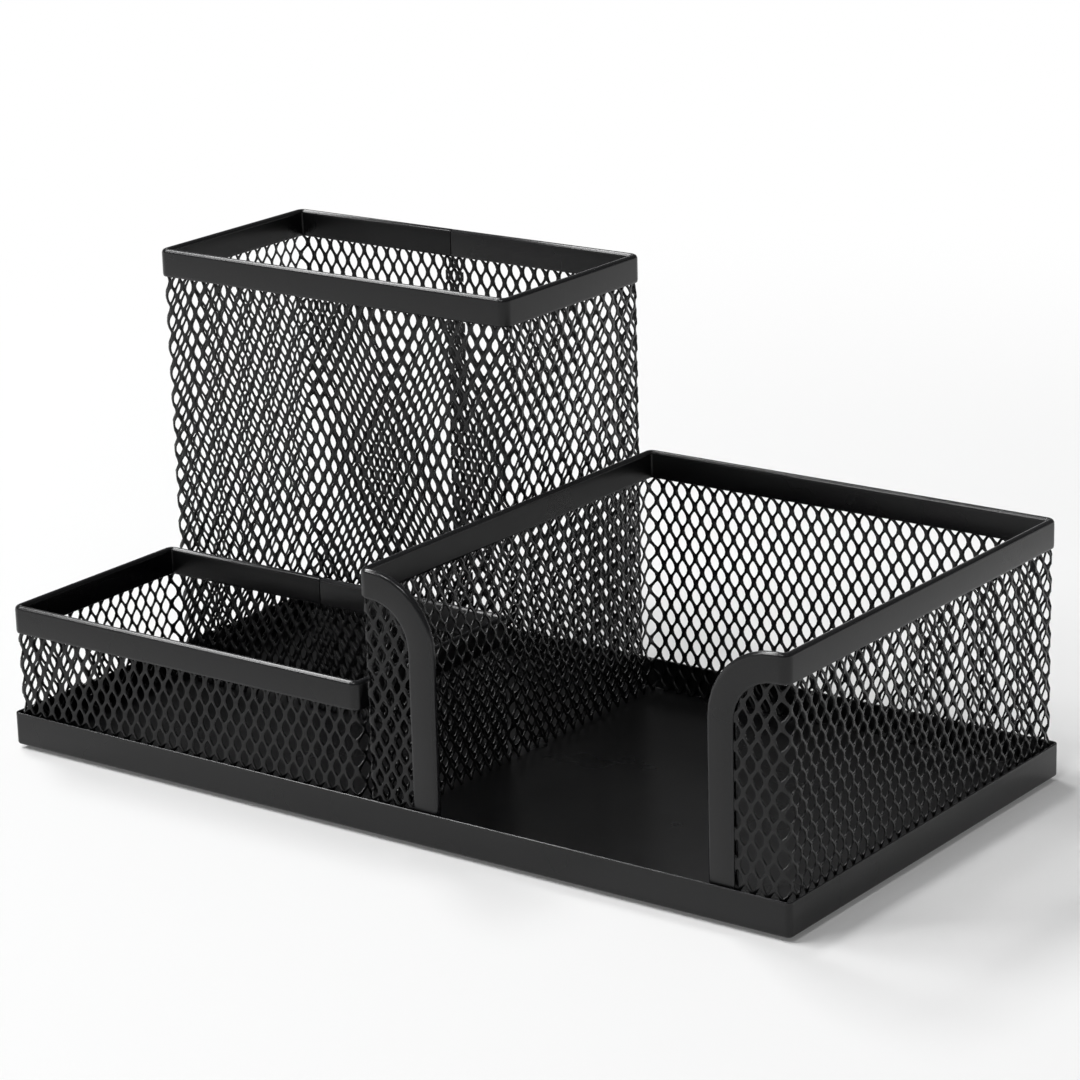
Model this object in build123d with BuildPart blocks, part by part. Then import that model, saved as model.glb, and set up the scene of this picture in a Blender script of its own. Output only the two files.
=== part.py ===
from build123d import *
import math
import os

# Desk organizer of expanded steel mesh: a tall pen cup, a low tray and a note box stand side by
# side in one pressed base pan. Millimetres. +Z is up, the front faces -Y, and the origin is in the
# middle of the footprint, on the desk.

# Base pan: a floor with an upturned band all round
base_length = 205.0  # outside, along X
base_depth = 106.5  # outside, along Y
base_height = 7.5  # underside of the pan to the top of its band
base_sheet = 0.5
base_inner_radius = 0.8  # plan corners, inside the band
base_bend_radius = 0.6  # bend between floor and band, outside
band_edge_radius = 0.2  # rounded upper edge of the band

# Rubber pads under the pan
pad_diameter = 9.0
pad_height = 1.0
pad_inset = 9.5  # from the pan's outside to the middle of a pad

# Baskets, with heights from the underside of the pan to the top of a rim
cup_width = 98.2
cup_depth = 50.8
cup_height = 102.3
tray_height = 32.4
note_height = 57.6
basket_gap = 1.2  # between neighbouring baskets
seat_clearance = 0.15  # between the band and the baskets

# Rims: a strip folded over the upper edge of the mesh
rim_sheet = 0.4
rim_height = 6.3
rim_inner_radius = 0.4  # plan corners, inside the rim
fold_flat = 0.2  # flat left between the two rounded edges of the fold
slot_clearance = 0.2  # between the mesh and the strip

# Cut-out in the front of the note box
cutout_radius = 16.0  # rounded upper corner of a front cheek
cheek_flat = 0.7  # level run of the rim between the box's corner and that rounding

# Expanded mesh: the openings are diamonds in staggered rows, drawn at twice the pitch of the real
# sheet (3.43 mm across and 6.05 mm up) with about the same open share
mesh_thickness = 0.6
opening_pitch_across = 6.86
opening_pitch_up = 12.1
strand_width = 1.4

# Sizes that follow
rim_thickness = 2 * rim_sheet + 2 * slot_clearance + mesh_thickness
rim_radius = rim_inner_radius + rim_thickness
fold_radius = (rim_thickness - fold_flat) / 2
mesh_inset = rim_sheet + slot_clearance  # from the outside of a rim to the outside of its mesh
mesh_radius = rim_radius - mesh_inset
basket_inset = base_sheet + seat_clearance  # from the outside of the pan to the outside of a rim
pan_bottom = pad_height
pan_floor = pan_bottom + base_sheet
band_top = pan_bottom + base_height

tray_depth = base_depth - 2 * basket_inset - cup_depth - basket_gap
note_width = base_length - 2 * basket_inset - cup_width - basket_gap
note_depth = base_depth - 2 * basket_inset
left_edge = -base_length / 2 + basket_inset
right_edge = base_length / 2 - basket_inset
front_edge = -base_depth / 2 + basket_inset
back_edge = base_depth / 2 - basket_inset

opening_half_width = opening_pitch_across / 2
opening_half_height = opening_pitch_up / 2
opening_side = math.hypot(opening_half_width, opening_half_height)
strand_spacing = opening_half_width * opening_half_height / opening_side
open_share = 1 - strand_width / (2 * strand_spacing)
hole_half_width = opening_half_width * open_share
hole_half_height = opening_half_height * open_share

# Each basket: middle of its plan, width along X, depth along Y, height of its rim's top
cup = {
    "x": left_edge + cup_width / 2,
    "y": back_edge - cup_depth / 2,
    "width": cup_width,
    "depth": cup_depth,
    "top": pan_bottom + cup_height,
}
tray = {
    "x": left_edge + cup_width / 2,
    "y": front_edge + tray_depth / 2,
    "width": cup_width,
    "depth": tray_depth,
    "top": pan_bottom + tray_height,
}
note = {
    "x": right_edge - note_width / 2,
    "y": 0.0,
    "width": note_width,
    "depth": note_depth,
    "top": pan_bottom + note_height,
}

os.makedirs("parts", exist_ok=True)


def save(piece, node):
    piece.part.label = node
    export_step(piece.part, f"parts/{node}.step")


def openings(left, right, low, high, corner=0.0):
    # middles of the whole openings between these limits, whose upper right corner may be rounded
    columns = math.floor((right - left - 2 * hole_half_width) / opening_pitch_across) + 1
    rows = math.floor((high - low - 2 * hole_half_height) / opening_half_height) + 1
    middle_x, middle_y = (left + right) / 2, (low + high) / 2
    spots = []
    for row in range(rows):
        count = columns - row % 2 if columns > 1 else columns
        for column in range(count):
            x = middle_x + (column - (count - 1) / 2) * opening_pitch_across
            y = middle_y + (row - (rows - 1) / 2) * opening_half_height
            past_x = max(x + hole_half_width - (right - corner), 0)
            past_y = max(y + hole_half_height - (high - corner), 0)
            if math.hypot(past_x, past_y) <= corner or corner == 0:
                spots.append((x, y))
    return spots


def cut_openings(spots):
    # diamonds cut out of a sheet's sketch
    if spots:
        with Locations(*spots):
            Polygon(
                (-hole_half_width, 0),
                (0, -hole_half_height),
                (hole_half_width, 0),
                (0, hole_half_height),
                mode=Mode.SUBTRACT,
            )


def wall_plane(basket, normal_x, normal_y):
    # on the outside of a basket's mesh, at its foot, with X along the wall and Y up
    reach_x = basket["width"] / 2 - mesh_inset
    reach_y = basket["depth"] / 2 - mesh_inset
    return Plane(
        origin=(basket["x"] + normal_x * reach_x, basket["y"] + normal_y * reach_y, pan_floor),
        x_dir=(-normal_y, normal_x, 0),
        z_dir=(normal_x, normal_y, 0),
    )


def mesh_wall(basket, node, normal_x, normal_y):
    # flat stretch of a wall, between the bends at its ends
    length = (basket["width"] if normal_x == 0 else basket["depth"]) - 2 * rim_radius
    height = basket["top"] - mesh_inset - pan_floor
    low = band_top - pan_floor
    high = basket["top"] - rim_height - pan_floor
    with BuildPart() as wall:
        with BuildSketch(wall_plane(basket, normal_x, normal_y)):
            with Locations((0, height / 2)):
                Rectangle(length, height)
            cut_openings(openings(-length / 2, length / 2, low, high))
        extrude(amount=-mesh_thickness)
    save(wall, node)


def mesh_bend(basket, node, side_x, side_y):
    # quarter-round bend of the sheet at one corner
    middle_x = basket["x"] + side_x * (basket["width"] / 2 - rim_radius)
    middle_y = basket["y"] + side_y * (basket["depth"] / 2 - rim_radius)
    height = basket["top"] - mesh_inset - pan_floor
    with BuildPart() as bend:
        with BuildSketch(Plane.XY.offset(pan_floor)):
            with Locations((middle_x, middle_y)):
                Circle(mesh_radius)
                Circle(mesh_radius - mesh_thickness, mode=Mode.SUBTRACT)
            with Locations((middle_x + side_x * mesh_radius / 2, middle_y + side_y * mesh_radius / 2)):
                Rectangle(mesh_radius, mesh_radius, mode=Mode.INTERSECT)
        extrude(amount=height)
    save(bend, node)


def rim_ring(basket, inset_outside, inset_inside):
    # plan of a rim, or of the slot in it, between two insets from the rim's outside
    with Locations((basket["x"], basket["y"])):
        for inset, mode in ((inset_outside, Mode.ADD), (inset_inside, Mode.SUBTRACT)):
            width = basket["width"] - 2 * inset
            depth = basket["depth"] - 2 * inset
            RectangleRounded(width, depth, rim_radius - inset, mode=mode)


def closed_rim(basket, node):
    # folded strip that is closed round the whole basket
    rim_bottom = Plane.XY.offset(basket["top"] - rim_height)
    with BuildPart() as rim:
        with BuildSketch(rim_bottom):
            rim_ring(basket, 0, rim_thickness)
        extrude(amount=rim_height)
        fillet(rim.edges().group_by(Axis.Z)[-1], fold_radius)
        with BuildSketch(rim_bottom):
            rim_ring(basket, rim_sheet, rim_thickness - rim_sheet)
        extrude(amount=rim_height - rim_sheet, mode=Mode.SUBTRACT)
    save(rim, node)


# Base pan, its floor on the pads
with BuildPart() as base_pan:
    base_outer_radius = base_inner_radius + base_sheet
    with BuildSketch(Plane.XY.offset(pan_bottom)):
        RectangleRounded(base_length, base_depth, base_outer_radius)
    extrude(amount=base_height)
    fillet(base_pan.faces().sort_by(Axis.Z)[0].edges(), base_bend_radius)
    with BuildSketch(Plane.XY.offset(pan_floor)):
        RectangleRounded(base_length - 2 * base_sheet, base_depth - 2 * base_sheet, base_inner_radius)
    extrude(amount=base_height - base_sheet, mode=Mode.SUBTRACT)
    fillet(base_pan.faces().sort_by(Axis.Z)[-1].edges(), band_edge_radius)
save(base_pan, "base_pan")

# Rubber pads, one near each corner of the pan
for front_back, side_y in (("front", -1), ("back", 1)):
    for left_right, side_x in (("left", -1), ("right", 1)):
        pad_x = side_x * (base_length / 2 - pad_inset)
        pad_y = side_y * (base_depth / 2 - pad_inset)
        with BuildPart() as pad:
            with BuildSketch(Plane.XY):
                with Locations((pad_x, pad_y)):
                    Circle(pad_diameter / 2)
            extrude(amount=pad_height)
        save(pad, f"pad_{front_back}_{left_right}")

# Mesh walls, with the note box's front left for its cheeks
for name, basket in (("pen_cup", cup), ("tray", tray), ("note_box", note)):
    if basket is not note:
        mesh_wall(basket, f"{name}_mesh_front", 0, -1)
    mesh_wall(basket, f"{name}_mesh_back", 0, 1)
    mesh_wall(basket, f"{name}_mesh_left", -1, 0)
    mesh_wall(basket, f"{name}_mesh_right", 1, 0)
    for front_back, side_y in (("front", -1), ("back", 1)):
        for left_right, side_x in (("left", -1), ("right", 1)):
            mesh_bend(basket, f"{name}_bend_{front_back}_{left_right}", side_x, side_y)

closed_rim(cup, "pen_cup_rim")
closed_rim(tray, "tray_rim")

# Front of the note box: a cheek at each end, with the cut-out between them down to the pan
cheek_width = cheek_flat + cutout_radius  # from the end of the corner's bend to the cut-out
cheek_height = note["top"] - pan_floor


def cheek_plane(side, depth):
    # upright plane behind the front of the rim, with X from the corner's bend towards the cut-out
    return Plane(
        origin=(note["x"] + side * (note["width"] / 2 - rim_radius), front_edge + depth, pan_floor),
        x_dir=(-side, 0, 0),
        z_dir=(0, side, 0),
    )


def cheek_outline(inset, mode=Mode.ADD):
    # outline of a cheek, brought in by an inset along its top, its rounding and the cut-out's side
    with BuildSketch(mode=Mode.PRIVATE) as outline:
        Rectangle(cheek_width - inset, cheek_height - inset, align=(Align.MIN, Align.MIN))
        outer_corner = outline.vertices().group_by(Axis.Y)[-1].sort_by(Axis.X)[-1]
        fillet(outer_corner, cutout_radius - inset)
    add(outline.sketch, mode=mode)


for left_right, side in (("left", -1), ("right", 1)):
    with BuildPart() as cheek:
        with BuildSketch(cheek_plane(side, mesh_inset)):
            cheek_outline(mesh_inset)
            spots = openings(
                0,
                cheek_width - rim_height,
                band_top - pan_floor,
                cheek_height - rim_height,
                cutout_radius - rim_height,
            )
            cut_openings(spots)
        extrude(amount=side * mesh_thickness)
    save(cheek, f"note_box_mesh_front_{left_right}")

# Rim of the note box: one folded strip along the left, back and right walls, round the front
# corners and down both sides of the cut-out to the floor of the pan
note_rim_bottom = Plane.XY.offset(note["top"] - rim_height)
front_run = note["width"] - 2 * rim_radius
with BuildPart() as note_box_rim:
    with BuildSketch(note_rim_bottom):
        rim_ring(note, 0, rim_thickness)
        with Locations((note["x"], front_edge + rim_thickness / 2)):
            Rectangle(front_run, rim_thickness, mode=Mode.SUBTRACT)
    extrude(amount=rim_height)
    for side in (-1, 1):
        with BuildSketch(cheek_plane(side, 0)):
            cheek_outline(0)
            cheek_outline(rim_height, mode=Mode.SUBTRACT)
        extrude(amount=side * rim_thickness)
    rim_top_edges = note_box_rim.edges().group_by(Axis.Z)[-1]
    rounding_edges = note_box_rim.edges().filter_by(
        lambda edge: edge.geom_type == GeomType.CIRCLE and abs(edge.radius - cutout_radius) < fold_flat
    )
    leg_reach = note["width"] / 2 - rim_radius - cheek_width
    leg_edges = note_box_rim.edges().filter_by(Axis.Z).filter_by(
        lambda edge: abs(abs(edge.center().X - note["x"]) - leg_reach) < fold_flat
    )
    fillet(rim_top_edges + rounding_edges + leg_edges, fold_radius)
    with BuildSketch(note_rim_bottom):
        rim_ring(note, rim_sheet, rim_thickness - rim_sheet)
        with Locations((note["x"], front_edge + rim_thickness / 2)):
            Rectangle(front_run, rim_thickness, mode=Mode.SUBTRACT)
    extrude(amount=rim_height - rim_sheet, mode=Mode.SUBTRACT)
    for side in (-1, 1):
        with BuildSketch(cheek_plane(side, rim_sheet)):
            cheek_outline(rim_sheet)
        extrude(amount=side * (rim_thickness - 2 * rim_sheet), mode=Mode.SUBTRACT)
save(note_box_rim, "note_box_rim")
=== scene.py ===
import math

import bmesh
import bpy
from mathutils import Matrix, Vector, noise


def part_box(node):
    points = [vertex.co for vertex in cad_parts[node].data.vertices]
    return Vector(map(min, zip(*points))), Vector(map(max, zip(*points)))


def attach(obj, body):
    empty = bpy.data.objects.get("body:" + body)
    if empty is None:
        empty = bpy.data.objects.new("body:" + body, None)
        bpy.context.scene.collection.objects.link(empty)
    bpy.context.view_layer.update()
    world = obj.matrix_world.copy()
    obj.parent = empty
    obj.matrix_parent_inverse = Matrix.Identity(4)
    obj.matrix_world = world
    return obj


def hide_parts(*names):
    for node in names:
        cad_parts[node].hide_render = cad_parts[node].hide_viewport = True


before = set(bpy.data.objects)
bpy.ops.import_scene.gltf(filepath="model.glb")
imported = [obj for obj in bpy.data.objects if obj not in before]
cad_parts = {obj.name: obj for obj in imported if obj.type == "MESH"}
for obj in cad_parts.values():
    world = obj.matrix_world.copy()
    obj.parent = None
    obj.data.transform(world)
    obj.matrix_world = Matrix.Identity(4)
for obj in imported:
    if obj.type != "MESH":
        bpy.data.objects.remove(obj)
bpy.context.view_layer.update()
mm = 0.001
print("frame loaded:", len(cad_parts), "nodes")


def hexColour(code):
    # sRGB hex to the linear values that shaders take
    channels = [int(code[i:i + 2], 16) / 255 for i in (1, 3, 5)]
    linear = [c / 12.92 if c <= 0.04045 else ((c + 0.055) / 1.055) ** 2.4 for c in channels]
    return (*linear, 1.0)


def addNode(tree, kind, inputs=None, links=None, **settings):
    node = tree.nodes.new(kind)
    for key, value in settings.items():
        setattr(node, key, value)
    for key, value in (inputs or {}).items():
        node.inputs[key].default_value = value
    for key, source in (links or {}).items():
        tree.links.new(source, node.inputs[key])
    return node


def addMath(tree, operation, first, second):
    return addNode(tree, "ShaderNodeMath", links={0: first, 1: second}, operation=operation).outputs[0]


def addRamp(tree, source, span, colours):
    ramp = addNode(tree, "ShaderNodeValToRGB", links={"Fac": source})
    for element, position, colour in zip(ramp.color_ramp.elements, span, colours):
        element.position = position
        element.color = hexColour(colour)
    return ramp.outputs["Color"]


def newMaterial(name):
    material = bpy.data.materials.new(name)
    material.use_nodes = True
    material.node_tree.nodes.clear()
    return material, material.node_tree


# black powder-coated steel: sprayed polyester powder melted to a satin film, a little lumpy like
# orange peel, with soft broad reflections and fine matt specks
powderCoat = {
    "colours": ("#060607", "#0d0d0e"),
    "toneSpan": (0.12, 0.42),  # noise that goes with these colours
    "paintedHighlight": "#2b2b2d",  # painted highlight: a lighter grey on a fold
    "roughness": (0.25, 0.34),
    "sheenSpan": (0.3, 0.7),  # noise that goes with this roughness
    "polish": 0.13,  # how much smoother a fold or an edge is
    "ior": 1.5,
    "specular": 0.37,
    "peelWidth": 1.1,  # mm between the lumps
    "peelDepth": 0.012,  # mm
    "peelStrength": 0.6,
    "speckWidth": 0.35,
    "cloudWidth": 28.0,  # slow change of tone over the sheet
}


def makePowderCoat(name, look):
    material, tree = newMaterial(name)
    place = {"Vector": addNode(tree, "ShaderNodeTexCoord").outputs["Object"]}
    scale = {key: 1 / (look[f"{key}Width"] * mm) for key in ("cloud", "speck", "peel")}
    cloud = addNode(tree, "ShaderNodeTexNoise", {"Scale": scale["cloud"], "Detail": 3.0}, place)
    speck = addNode(tree, "ShaderNodeTexNoise", {"Scale": scale["speck"], "Detail": 1.0}, place)
    peel = addNode(tree, "ShaderNodeTexNoise", {"Scale": scale["peel"], "Detail": 2.0}, place)
    tone = addMath(tree, "MULTIPLY", cloud.outputs["Fac"], speck.outputs["Fac"])
    colour = addRamp(tree, tone, look["toneSpan"], look["colours"])
    # painted highlight: the fold mask, broken up by the slow noise, mixes a lighter grey into the colour;
    # the same mask makes the coat smoother
    fold = addNode(tree, "ShaderNodeAttribute", attribute_name="fold")
    highlightMix = addMath(tree, "MULTIPLY", fold.outputs["Fac"], cloud.outputs["Fac"])
    coat = addNode(
        tree,
        "ShaderNodeMix",
        {"B": hexColour(look["paintedHighlight"])},
        {"Factor": highlightMix, "A": colour},
        data_type="RGBA",
    )
    smooth, rough = look["roughness"]
    sheenLow, sheenHigh = look["sheenSpan"]
    sheen = addNode(
        tree,
        "ShaderNodeMapRange",
        {"From Min": sheenLow, "From Max": sheenHigh, "To Min": smooth, "To Max": rough},
        {"Value": cloud.outputs["Fac"]},
    )
    polished = addNode(
        tree,
        "ShaderNodeMath",
        {1: -look["polish"]},
        {0: fold.outputs["Fac"], 2: sheen.outputs["Result"]},
        operation="MULTIPLY_ADD",
    )
    bump = addNode(
        tree,
        "ShaderNodeBump",
        {"Strength": look["peelStrength"], "Distance": look["peelDepth"] * mm},
        {"Height": peel.outputs["Fac"]},
    )
    shader = addNode(
        tree,
        "ShaderNodeBsdfPrincipled",
        {"IOR": look["ior"], "Specular IOR Level": look["specular"]},
        {
            "Base Color": coat.outputs["Result"],
            "Roughness": polished.outputs[0],
            "Normal": bump.outputs["Normal"],
        },
    )
    addNode(tree, "ShaderNodeOutputMaterial", links={"Surface": shader.outputs["BSDF"]})
    return material


# moulded rubber: matt, faintly dusty
padRubber = {
    "colours": ("#0a0a0a", "#181817"),
    "toneSpan": (0, 1),
    "roughness": 0.85,
    "ior": 1.52,
    "gritWidth": 0.5,  # mm
    "gritDepth": 0.02,  # mm
    "gritStrength": 0.5,
}


def makeRubber(name, look):
    material, tree = newMaterial(name)
    place = {"Vector": addNode(tree, "ShaderNodeTexCoord").outputs["Object"]}
    scale = 1 / (look["gritWidth"] * mm)
    grit = addNode(tree, "ShaderNodeTexNoise", {"Scale": scale, "Detail": 3.0}, place)
    colour = addRamp(tree, grit.outputs["Fac"], look["toneSpan"], look["colours"])
    bump = addNode(
        tree,
        "ShaderNodeBump",
        {"Strength": look["gritStrength"], "Distance": look["gritDepth"] * mm},
        {"Height": grit.outputs["Fac"]},
    )
    shader = addNode(
        tree,
        "ShaderNodeBsdfPrincipled",
        {"IOR": look["ior"], "Roughness": look["roughness"]},
        {"Base Color": colour, "Normal": bump.outputs["Normal"]},
    )
    addNode(tree, "ShaderNodeOutputMaterial", links={"Surface": shader.outputs["BSDF"]})
    return material


coatOnSheet = makePowderCoat("blackPowderCoatOnSheet", powderCoat)
finerCoat = {**powderCoat, "roughness": (0.22, 0.3), "peelWidth": 0.6}
coatOnMesh = makePowderCoat("blackPowderCoatOnMesh", finerCoat)
rubber = makeRubber("blackPadRubber", padRubber)
print("materials made")


def addObject(name, data):
    made = bpy.data.objects.new(name, data)
    bpy.context.scene.collection.objects.link(made)
    return made


def finishPiece(name, bm, material, replaced):
    mesh = bpy.data.meshes.new(name)
    for face in bm.faces:
        face.smooth = True
    bm.to_mesh(mesh)
    bm.free()
    piece = addObject(name, mesh)
    mesh.materials.append(material)
    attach(piece, "root")
    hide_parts(*replaced)
    return piece


def addThickness(piece, thickness, offset):
    solid = piece.modifiers.new("thickness", "SOLIDIFY")
    solid.thickness = thickness
    solid.offset = offset
    solid.use_even_offset = True


def roundEdges(piece, width, segments=2, angle=40):
    soft = piece.modifiers.new("roundedEdges", "BEVEL")
    soft.width = width
    soft.segments = segments
    soft.limit_method = "ANGLE"
    soft.angle_limit = math.radians(angle)


def bevelParts(bm, geom, affect, width, steps):
    bmesh.ops.bevel(
        bm,
        geom=geom,
        affect=affect,
        offset=width,
        segments=steps,
        profile=0.5,  # round
        material=-1,
    )


def partsOf(made, kind):
    return [part for part in made if isinstance(part, kind)]


def carryStraight(bm, edges, vector):
    # draws faces out of the edges and gives the new edges at their far end
    made = bmesh.ops.extrude_edge_only(bm, edges=edges)["geom"]
    bmesh.ops.translate(bm, verts=partsOf(made, bmesh.types.BMVert), vec=vector)
    return partsOf(made, bmesh.types.BMEdge)


# the strip that is folded over the upper edge of each mesh
strip = {
    "sheet": 0.4 * mm,
    "thickness": 1.8 * mm,  # both legs and the mesh between them
    "cadMesh": 0.6 * mm,  # thickness of the mesh in the CAD model
    "height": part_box("tray_rim")[1].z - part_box("tray_rim")[0].z,
    "cornerRadius": 2.2 * mm,  # outside
    "foldSteps": 10,
    "cornerSteps": 8,
    "tuck": 0.12 * mm,  # lower edges pressed in on the mesh
    "tuckHeight": 0.6 * mm,
    "edgeHighlight": 0.7,  # share of the fold's painted highlight and polish that the lower edges get
    "rounding": 0.12 * mm,
    "seamGap": 0.18 * mm,
}
midRadius = strip["cornerRadius"] - strip["thickness"] / 2


# plan of each basket on the middle of its mesh, from the CAD rims: the run goes clockwise seen from
# above, so that the outside is on its left
def basketPlan(rimNode):
    low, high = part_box(rimNode)
    inset = strip["thickness"] / 2
    return {
        "left": low.x + inset,
        "right": high.x - inset,
        "front": low.y + inset,
        "back": high.y - inset,
        "top": high.z,
        "floor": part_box("pen_cup_mesh_front")[0].z,
    }


def runRound(plan, start, end, firstCorner):
    # straights and corners from start to end, clockwise from the named corner
    r = midRadius
    corners = {
        "backRight": (Vector((plan["right"] - r, plan["back"], 0)), Vector((1, 0, 0))),
        "frontRight": (Vector((plan["right"], plan["front"] + r, 0)), Vector((0, -1, 0))),
        "frontLeft": (Vector((plan["left"] + r, plan["front"], 0)), Vector((-1, 0, 0))),
        "backLeft": (Vector((plan["left"], plan["back"] - r, 0)), Vector((0, 1, 0))),
    }
    order = list(corners)
    shift = order.index(firstCorner)
    run, here = [], start
    for corner in order[shift:] + order[:shift]:
        bend, heading = corners[corner]
        run.append({"start": here, "heading": heading, "length": (bend - here).length, "radius": 0})
        run.append({"start": bend, "heading": heading, "length": r * math.pi / 2, "radius": r})
        right = Vector((heading.y, -heading.x, 0))
        here = bend + (heading + right) * r
    last = end - here
    run.append({"start": here, "heading": last.normalized(), "length": last.length, "radius": 0})
    return run


def closedRun(plan, seamX):
    # once round the basket, from the seam in its back wall
    seam = Vector((seamX, plan["back"], 0))
    return runRound(plan, seam, seam, "backRight")


def openRun(plan, cutLeft, cutRight):
    # from one side of the cut-out round the box to its other side
    start = Vector((cutLeft, plan["front"], 0))
    end = Vector((cutRight, plan["front"], 0))
    return runRound(plan, start, end, "frontLeft")


def runLength(run):
    return sum(part["length"] for part in run)


def pointOnRun(run, distance, out):
    # plan point that far along the run, moved outwards by out
    for part in run:
        if distance <= part["length"] or part is run[-1]:
            break
        distance -= part["length"]
    heading = part["heading"]
    outward = Vector((-heading.y, heading.x, 0))
    if part["radius"] == 0:
        return part["start"] + heading * distance + outward * out
    centre = part["start"] - outward * part["radius"]
    turned = Matrix.Rotation(-distance / part["radius"], 3, "Z") @ outward
    return centre + turned * (part["radius"] + out)


cupPlan = basketPlan("pen_cup_rim")
trayPlan = basketPlan("tray_rim")
notePlan = basketPlan("note_box_rim")
seamFromLeft = 45 * mm
cupRun = closedRun(cupPlan, cupPlan["left"] + seamFromLeft)
trayRun = closedRun(trayPlan, trayPlan["left"] + seamFromLeft)

meshInset = (strip["thickness"] - strip["cadMesh"]) / 2
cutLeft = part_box("note_box_mesh_front_left")[1].x + meshInset
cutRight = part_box("note_box_mesh_front_right")[0].x - meshInset
noteRun = openRun(notePlan, cutLeft, cutRight)
cutRadius = 16 * mm

# expanded mesh: one opening with the metal round it, repeated in staggered rows on the flat sheet
meshSheet = {
    "across": 3.43 * mm,
    "up": 6.05 * mm,
    "holeWidth": 2.55 * mm,
    "holeHeight": 4.05 * mm,
    "flank": (0.83, 0.38),  # points of the opening's outline, as shares of its half width and height
    "shoulder": (0.36, 0.79),
    "bond": 0.8 * mm,
    "thickness": 0.34 * mm,
    "rounding": 0.15 * mm,  # the film draws back from the edges of the strands
    "tip": 2.0,  # degrees that each opening leans, so that a strand's upper edge stands out
    "turn": 7.5,  # degrees that it turns, as stretching leaves the strands on the slant
    "lap": 5.4 * mm,  # overlap of the two ends of a sleeve
    "lapEase": 3.0 * mm,
    "under": 2.0 * mm,  # from the rim's edge to the cut edge of the mesh below it, round the cheeks
    "belly": 0.32 * mm,  # how far the walls stand out below the rim
    "pressed": 0.4,  # share of the strands' slant that is left where the rim clamps them
    "clampEase": 1.5 * mm,
    "uneven": 0.45 * mm,  # how far the stretched pattern wanders
    "unevenWidth": 45 * mm,
    "unevenOut": 0.5,  # share of that wander in and out of the wall
    "seed": 8,  # another number gives another wander; 0 would change it at every run
    "weld": 0.02 * mm,  # points of neighbouring cells that are nearer than this are joined
    "snap": 0.001 * mm,  # points nearer than this to a cut count as on it
}
noise.seed_set(meshSheet["seed"])


def meshCell(bm, across):
    # a six-sided cell with a rounded lozenge for its opening: twelve faces
    near, far = 0.5, math.sqrt(0.75)  # where even points of a round lie, apart from its ends
    margin = 0.1

    def pointsAt(ring, reach):
        return [vert for vert in ring if abs(abs(vert.co.x) - reach) < margin]

    ring = bmesh.ops.create_circle(bm, cap_ends=False, segments=6, radius=1)["verts"]
    sides, ends = pointsAt(ring, far), pointsAt(ring, 0)
    bond = meshSheet["bond"]
    bmesh.ops.scale(bm, verts=sides, vec=(across / math.sqrt(3), bond, 1))
    bmesh.ops.scale(bm, verts=ends, vec=(1, (meshSheet["up"] - bond) / 2, 1))
    bmesh.ops.subdivide_edges(bm, edges=bm.edges[:], cuts=1)
    hole = bmesh.ops.create_circle(bm, cap_ends=False, segments=12, radius=1)["verts"]
    flanks, shoulders = pointsAt(hole, far), pointsAt(hole, near)
    flankX, flankY = meshSheet["flank"]
    shoulderX, shoulderY = meshSheet["shoulder"]
    bmesh.ops.scale(bm, verts=flanks, vec=(flankX / far, flankY / near, 1))
    bmesh.ops.scale(bm, verts=shoulders, vec=(shoulderX / near, shoulderY / far, 1))
    bmesh.ops.scale(bm, verts=hole, vec=(meshSheet["holeWidth"] / 2, meshSheet["holeHeight"] / 2, 1))
    lean = Matrix.Rotation(math.radians(-meshSheet["tip"]), 3, "X")
    slant = Matrix.Rotation(math.radians(meshSheet["turn"]), 3, "Y")
    bmesh.ops.rotate(bm, verts=hole, cent=(0, 0, 0), matrix=slant @ lean)
    bmesh.ops.bridge_loops(bm, edges=bm.edges[:])
    upright = Matrix.Rotation(math.radians(90), 3, "X")
    bmesh.ops.rotate(bm, verts=bm.verts[:], cent=(0, 0, 0), matrix=upright)


def repeat(bm, count, step):
    # copies all there is so far, count times in all
    first = bm.verts[:] + bm.edges[:] + bm.faces[:]
    for index in range(1, count):
        made = bmesh.ops.duplicate(bm, geom=first)["geom"]
        bmesh.ops.translate(bm, verts=partsOf(made, bmesh.types.BMVert), vec=Vector(step) * index)
    bmesh.ops.remove_doubles(bm, verts=bm.verts[:], dist=meshSheet["weld"])


def meshField(columns, rows, across):
    # the flat sheet: X along the run, Z up, its outside towards -Y
    bm = bmesh.new()
    meshCell(bm, across)
    repeat(bm, 2, (across / 2, 0, meshSheet["up"] / 2))
    repeat(bm, columns, (across, 0, 0))
    repeat(bm, math.ceil(rows / 2), (0, 0, meshSheet["up"]))
    bmesh.ops.recalc_face_normals(bm, faces=bm.faces[:])
    bm.faces.ensure_lookup_table()
    if bm.faces[0].normal.y > 0:
        bmesh.ops.reverse_faces(bm, faces=bm.faces[:])
    return bm


def trim(bm, point, normal):
    # cuts off what lies on the normal's side
    everything = bm.verts[:] + bm.edges[:] + bm.faces[:]
    bmesh.ops.bisect_plane(
        bm,
        geom=everything,
        dist=meshSheet["snap"],
        plane_co=point,
        plane_no=normal,
        clear_outer=True,
    )


def share(value, start, end):
    # 0 at the start, 1 at the end
    return min(max((value - start) / (end - start), 0), 1)


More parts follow.
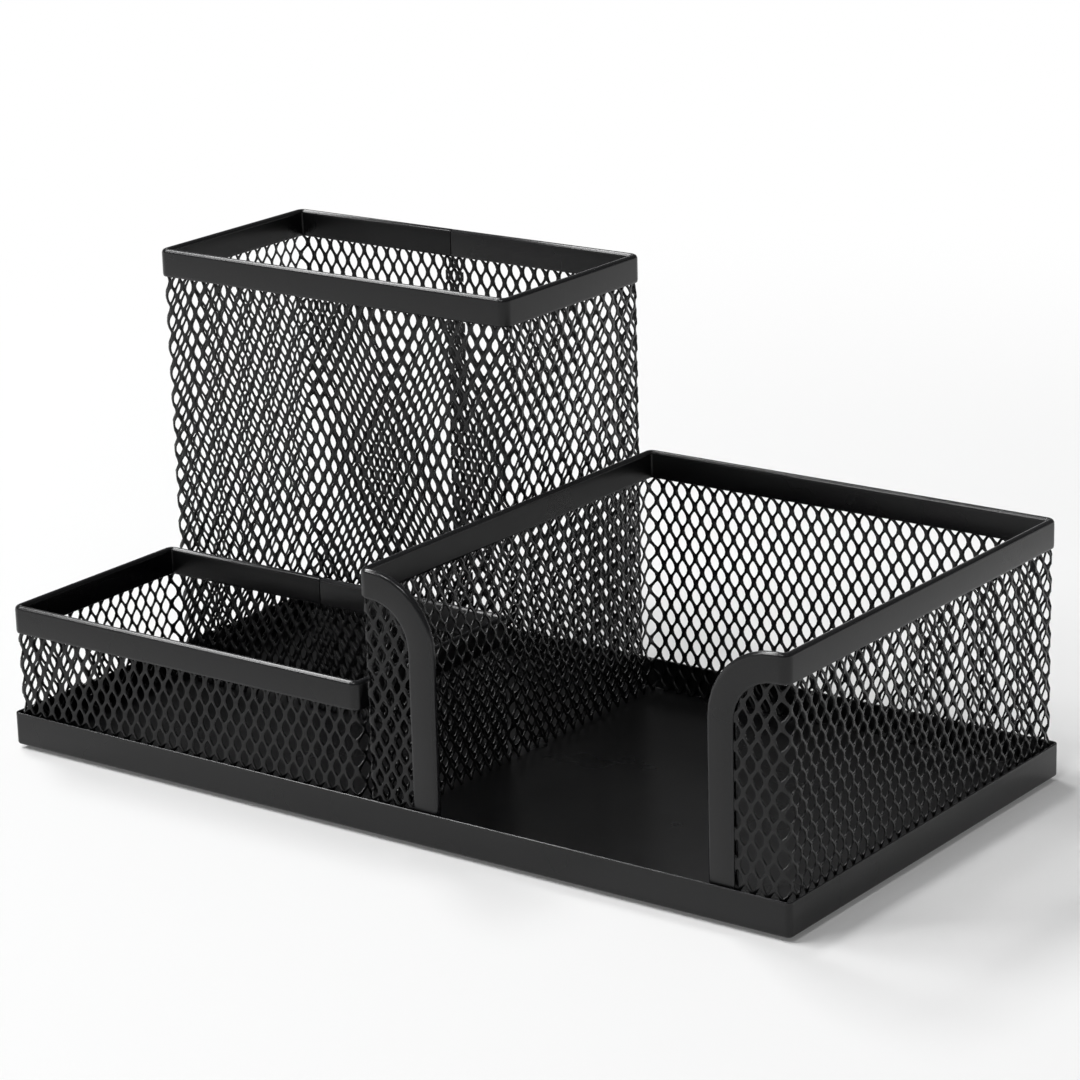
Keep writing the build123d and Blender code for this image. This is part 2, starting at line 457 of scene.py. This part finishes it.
def wrapSheet(bm, run, closed, foot, head):
    total = runLength(run)
    half = meshSheet["thickness"] / 2
    ease = meshSheet["lapEase"]
    lap = meshSheet["lap"]
    clamp = head + meshInset - strip["height"]
    for vert in bm.verts:
        along, out, height = vert.co.x, -vert.co.y, vert.co.z
        # flat under the rim, a little proud below it, and free to wander between rim and foot
        loose = 1 - share(height, clamp - meshSheet["clampEase"], clamp)
        out *= meshSheet["pressed"] + (1 - meshSheet["pressed"]) * loose
        out += meshSheet["belly"] * loose * share(height, foot, foot + meshSheet["clampEase"])
        wander = noise.noise_vector(vert.co / meshSheet["unevenWidth"])
        wander *= meshSheet["uneven"] * math.sin(math.pi * share(height, foot, head))
        if closed:
            # the first end lies outside the last one where the sleeve is lapped
            out += half * (1 - share(along, lap, lap + ease) - share(along, total - ease, total))
            along = (along - lap / 2) % total
        flat = pointOnRun(run, along + wander.x, out + wander.y * meshSheet["unevenOut"])
        vert.co = (flat.x, flat.y, height + wander.z)


def beyondRim(face, total, arcHeight):
    # true for what the rim round a cheek wouldn't cover
    spot = face.calc_center_median()
    fromCut = min(spot.x, total - spot.x)
    if fromCut < cutRadius and spot.z > arcHeight:
        return math.hypot(cutRadius - fromCut, spot.z - arcHeight) > cutRadius - meshSheet["under"]
    return fromCut < meshSheet["under"]


def sleeve(pieces, plan, run, closed):
    # lapped at the seam if closed, or else open at the cut-out, in several pieces along the run
    total = runLength(run)
    columns = round(total / meshSheet["across"])
    rise = meshSheet["up"] / 2
    foot = plan["floor"]
    head = plan["top"] - meshInset
    rows = math.ceil((head - foot) / rise) + 2
    if closed:
        across = total / (columns + 0.5)  # so that the lapped ends are half a cell out of step
        columns += math.ceil(meshSheet["lap"] / across) + 1
    else:
        across = total / columns
        columns += 1
    perPiece = columns // len(pieces) + 1
    first = 0
    for name, replaced in pieces.items():
        bm = meshField(min(perPiece, columns - first), rows, across)
        bmesh.ops.translate(bm, verts=bm.verts[:], vec=(first * across, 0, foot - rise))
        if closed:
            trim(bm, (0, 0, 0), (-1, 0, 0))
            trim(bm, (total + meshSheet["lap"], 0, 0), (1, 0, 0))
        else:
            outside = [face for face in bm.faces if beyondRim(face, total, plan["top"] - cutRadius)]
            bmesh.ops.delete(bm, geom=outside, context="FACES")
        trim(bm, (0, 0, foot), (0, 0, -1))
        trim(bm, (0, 0, head), (0, 0, 1))
        wrapSheet(bm, run, closed, foot, head)
        piece = finishPiece(name, bm, coatOnMesh, replaced)
        addThickness(piece, meshSheet["thickness"], 0)
        roundEdges(piece, meshSheet["rounding"], 1)
        print(name, "made of", len(piece.data.polygons), "faces")
        first += perPiece


def nodesOf(basket, *ends):
    return [f"{basket}_{end}" for end in ends]


cupMesh = {
    "penCupMeshRight": nodesOf("pen_cup", "mesh_back", "mesh_right", "bend_back_right", "bend_front_right"),
    "penCupMeshLeft": nodesOf("pen_cup", "mesh_front", "mesh_left", "bend_back_left", "bend_front_left"),
}
trayMesh = {
    "trayMesh": nodesOf("tray", "mesh_front", "mesh_back", "mesh_left", "mesh_right")
    + nodesOf("tray", "bend_front_left", "bend_front_right", "bend_back_left", "bend_back_right"),
}
noteMesh = {
    "noteBoxMeshLeft": nodesOf("note_box", "mesh_front_left", "mesh_left")
    + nodesOf("note_box", "bend_front_left", "bend_back_left"),
    "noteBoxMeshRight": nodesOf("note_box", "mesh_front_right", "mesh_right", "mesh_back")
    + nodesOf("note_box", "bend_front_right", "bend_back_right"),
}
sleeve(cupMesh, cupPlan, cupRun, True)
sleeve(trayMesh, trayPlan, trayRun, True)
sleeve(noteMesh, notePlan, noteRun, False)


# rims: the strip's section is drawn once where its run starts, then carried along by extrusions
# and spins
def stripSection(bm, apex, outward, upward):
    half = strip["thickness"] / 2
    # fold mask: full on the fold's crown and part way on the lower edges; it places the painted highlight
    # and the polish
    fold = bm.verts.layers.float.new("fold")
    verts = []

    def addPoint(out, up, paintedHighlight):
        vert = bm.verts.new(apex + outward * out + upward * up)
        vert[fold] = paintedHighlight
        verts.append(vert)

    low = -strip["height"]
    addPoint(half - strip["tuck"], low, strip["edgeHighlight"])
    addPoint(half, low + strip["tuckHeight"], 0)
    for step in range(strip["foldSteps"] + 1):
        turn = math.pi * step / strip["foldSteps"]
        addPoint(math.cos(turn) * half, math.sin(turn) * half - half, math.sin(turn))
    addPoint(-half, low + strip["tuckHeight"], 0)
    addPoint(-half + strip["tuck"], low, strip["edgeHighlight"])
    return [bm.edges.new(pair) for pair in zip(verts, verts[1:])]


def carryRound(bm, edges, centre, axis):
    verts = list(dict.fromkeys(vert for edge in edges for vert in edge.verts))
    made = bmesh.ops.spin(
        bm,
        geom=verts + edges,
        cent=centre,
        axis=axis,
        dvec=(0, 0, 0),
        angle=math.pi / 2,
        steps=strip["cornerSteps"],
        use_merge=False,
        use_duplicate=False,
    )["geom_last"]
    return partsOf(made, bmesh.types.BMEdge)


def carryAlongRun(bm, edges, run):
    for part in run:
        if part["radius"] == 0:
            edges = carryStraight(bm, edges, part["heading"] * part["length"])
        else:
            heading = part["heading"]
            centre = part["start"] + Vector((heading.y, -heading.x, 0)) * part["radius"]
            edges = carryRound(bm, edges, centre, (0, 0, -1))
    return edges


def finishStrip(name, bm, node):
    bmesh.ops.recalc_face_normals(bm, faces=bm.faces[:])
    piece = finishPiece(name, bm, coatOnSheet, [node])
    addThickness(piece, strip["sheet"], -1)
    roundEdges(piece, strip["rounding"])
    print(name, "made")


def closedRim(name, plan, run, node):
    bm = bmesh.new()
    start = run[0]
    gap = strip["seamGap"]
    first = {**start, "start": start["start"] + start["heading"] * gap, "length": start["length"] - gap}
    apex = first["start"] + Vector((0, 0, plan["top"]))
    edges = stripSection(bm, apex, Vector((0, 1, 0)), Vector((0, 0, 1)))
    carryAlongRun(bm, edges, [first] + run[1:])
    finishStrip(name, bm, node)


def noteRim(name, plan, node):
    bm = bmesh.new()
    arcHeight = plan["top"] - cutRadius
    apex = Vector((cutLeft, plan["front"], plan["floor"]))
    edges = stripSection(bm, apex, Vector((0, -1, 0)), Vector((1, 0, 0)))
    edges = carryStraight(bm, edges, (0, 0, arcHeight - plan["floor"]))
    edges = carryRound(bm, edges, (cutLeft - cutRadius, 0, arcHeight), (0, -1, 0))
    run = openRun(plan, cutLeft - cutRadius, cutRight + cutRadius)
    edges = carryAlongRun(bm, edges, run)
    edges = carryRound(bm, edges, (cutRight + cutRadius, 0, arcHeight), (0, -1, 0))
    carryStraight(bm, edges, (0, 0, plan["floor"] - arcHeight))
    finishStrip(name, bm, node)


closedRim("penCupRim", cupPlan, cupRun, "pen_cup_rim")
closedRim("trayRim", trayPlan, trayRun, "tray_rim")
noteRim("noteBoxRim", notePlan, "note_box_rim")


# base pan: a pressed sheet with an upturned band
pan = {
    "sheet": 0.5 * mm,
    "cornerRadius": 1.3 * mm,
    "cornerSteps": 8,
    "bend": 0.6 * mm,
    "bendSteps": 5,
    "edge": 0.22 * mm,
    "edgeSteps": 3,
    "lip": 0.5 * mm,  # top of the band, which gets the painted highlight and extra polish
}


def makeBasePan():
    low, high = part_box("base_pan")
    bm = bmesh.new()
    verts = bmesh.ops.create_grid(bm, x_segments=1, y_segments=1, size=0.5)["verts"]
    bmesh.ops.scale(bm, verts=verts, vec=(high.x - low.x, high.y - low.y, 1))
    bmesh.ops.translate(bm, verts=verts, vec=((low.x + high.x) / 2, (low.y + high.y) / 2, low.z))
    bevelParts(bm, bm.verts[:], "VERTICES", pan["cornerRadius"], pan["cornerSteps"])
    # fold mask on the band's top edge: the painted highlight and the polish go there
    fold = bm.verts.layers.float.new("fold")
    floorEdges = bm.edges[:]
    edges = floorEdges
    for rise, paintedHighlight in ((high.z - low.z - pan["lip"], 0), (pan["lip"], 1)):
        edges = carryStraight(bm, edges, (0, 0, rise))
        for edge in edges:
            for vert in edge.verts:
                vert[fold] = paintedHighlight
    bmesh.ops.recalc_face_normals(bm, faces=bm.faces[:])
    bevelParts(bm, floorEdges, "EDGES", pan["bend"], pan["bendSteps"])
    floorFace = max(bm.faces, key=lambda face: face.calc_area())
    if floorFace.normal.z > 0:
        bmesh.ops.reverse_faces(bm, faces=bm.faces[:])
    piece = finishPiece("basePan", bm, coatOnSheet, ["base_pan"])
    addThickness(piece, pan["sheet"], -1)
    roundEdges(piece, pan["edge"], pan["edgeSteps"])
    print("basePan made")


makeBasePan()

# rubber pads
padShape = {"rounding": 0.25 * mm, "roundingSteps": 3, "sides": 48}


def makePad(name, node):
    low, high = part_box(node)
    bm = bmesh.new()
    radius = (high.x - low.x) / 2
    verts = bmesh.ops.create_cone(
        bm,
        cap_ends=True,
        segments=padShape["sides"],
        radius1=radius,
        radius2=radius,
        depth=high.z - low.z,
    )["verts"]
    bmesh.ops.translate(bm, verts=verts, vec=(low + high) / 2)
    tall = low.z + padShape["rounding"]
    lowerEdges = [edge for edge in bm.edges if all(vert.co.z < tall for vert in edge.verts)]
    bevelParts(bm, lowerEdges, "EDGES", padShape["rounding"], padShape["roundingSteps"])
    finishPiece(name, bm, rubber, [node])


for frontBack in ("front", "back"):
    for leftRight in ("left", "right"):
        makePad(f"pad{frontBack.title()}{leftRight.title()}", f"pad_{frontBack}_{leftRight}")
print("pads made")


# pale floor with the object's own shadow near it, which fades to a white background and turns up
# into a low wall far away
stage = {
    "radius": 4.0,
    "sides": 96,
    "wall": 0.7,
    "cove": 0.5,
    "coveSteps": 8,
    "colour": "#f2f2f2",
    "near": 0.1,  # share of plain white in the floor beside the object
    "far": 1.0,
    "fadeFrom": 0.2,
    "fadeTo": 0.55,
}


def makeFloor():
    bm = bmesh.new()
    bmesh.ops.create_circle(bm, cap_ends=True, segments=stage["sides"], radius=stage["radius"])
    border = bm.edges[:]
    carryStraight(bm, border, (0, 0, stage["wall"]))
    bevelParts(bm, border, "EDGES", stage["cove"], stage["coveSteps"])
    mesh = bpy.data.meshes.new("floor")
    bm.to_mesh(mesh)
    bm.free()
    floor = addObject("floor", mesh)
    material, tree = newMaterial("paleFloor")
    path = addNode(tree, "ShaderNodeLightPath")
    seen = addMath(tree, "MAXIMUM", path.outputs["Is Camera Ray"], path.outputs["Is Glossy Ray"])
    seen = addMath(tree, "MAXIMUM", seen, path.outputs["Is Transmission Ray"])
    place = addNode(tree, "ShaderNodeTexCoord")
    away = addNode(tree, "ShaderNodeVectorMath", links={0: place.outputs["Object"]}, operation="LENGTH")
    fade = addNode(
        tree,
        "ShaderNodeMapRange",
        {
            "From Min": stage["fadeFrom"],
            "From Max": stage["fadeTo"],
            "To Min": stage["near"],
            "To Max": stage["far"],
        },
        {"Value": away.outputs["Value"]},
        interpolation_type="SMOOTHSTEP",
    )
    glow = addMath(tree, "MULTIPLY", fade.outputs["Result"], seen)
    matt = addNode(tree, "ShaderNodeBsdfDiffuse", {"Color": hexColour(stage["colour"])})
    white = addNode(tree, "ShaderNodeEmission")
    both = addNode(
        tree,
        "ShaderNodeMixShader",
        links={0: glow, 1: matt.outputs[0], 2: white.outputs[0]},
    )
    addNode(tree, "ShaderNodeOutputMaterial", links={"Surface": both.outputs[0]})
    mesh.materials.append(material)


makeFloor()

# soft studio light: a row of softboxes over the left side, two small ones over the front, little
# from elsewhere
lamps = [
    {"name": "softboxLeftFront", "place": (-2.4, -2.1, 2.4), "length": 1.1, "width": 0.8, "power": 48.0},
    {"name": "softboxLeft", "place": (-2.4, -0.7, 3.1), "length": 1.1, "width": 0.8, "power": 48.0},
    {"name": "softboxLeftBack", "place": (-2.4, 1.0, 3.0), "length": 1.1, "width": 0.8, "power": 48.0},
    {"name": "smallSoftboxAbove", "place": (-0.8, -1.1, 2.65), "length": 0.5, "width": 0.5, "power": 14.0},
    {"name": "smallSoftboxFront", "place": (0.3, -1.6, 2.5), "length": 0.5, "width": 0.5, "power": 15.0},
]
lampAim = (0, 0, 0.04)  # about the middle of the object
surroundings = {"colour": "#ffffff", "strength": 0.14}


def makeLight():
    aim = Vector(lampAim)
    for lamp in lamps:
        data = bpy.data.lights.new(lamp["name"], "AREA")
        data.shape = "RECTANGLE"
        data.size = lamp["length"]
        data.size_y = lamp["width"]
        data.energy = lamp["power"]
        light = addObject(lamp["name"], data)
        light.location = lamp["place"]
        light.rotation_euler = (aim - light.location).to_track_quat("-Z", "Y").to_euler()
    world = bpy.data.worlds.new("studio")
    bpy.context.scene.world = world
    world.use_nodes = True
    tree = world.node_tree
    tree.nodes.clear()
    back = addNode(
        tree,
        "ShaderNodeBackground",
        {"Color": hexColour(surroundings["colour"]), "Strength": surroundings["strength"]},
    )
    addNode(tree, "ShaderNodeOutputWorld", links={"Surface": back.outputs[0]})


makeLight()

# the photograph's view: a long lens from the front right, a little above, tilted by 1.5 degrees
view = {
    "eye": (468.28, -621.93, 290.48),  # mm
    "aim": (-16.82, 29.77, 40.57),
    "roll": -1.52,
    "lens": 126.26,
    "sensor": 36,
    "clip": 50 * mm,
}


def makeCamera():
    data = bpy.data.cameras.new("camera")
    data.lens = view["lens"]
    data.sensor_width = view["sensor"]
    data.sensor_fit = "HORIZONTAL"
    data.clip_start = view["clip"]
    camera = addObject("camera", data)
    eye = Vector(view["eye"]) * mm
    aim = Vector(view["aim"]) * mm
    camera.rotation_mode = "QUATERNION"
    level = (aim - eye).to_track_quat("-Z", "Y")
    roll = Matrix.Rotation(math.radians(view["roll"]), 3, "Z").to_quaternion()
    camera.rotation_quaternion = level @ roll
    camera.location = eye
    bpy.context.scene.camera = camera


makeCamera()
bpy.context.scene.view_settings.view_transform = "Standard"
print("light and camera set")
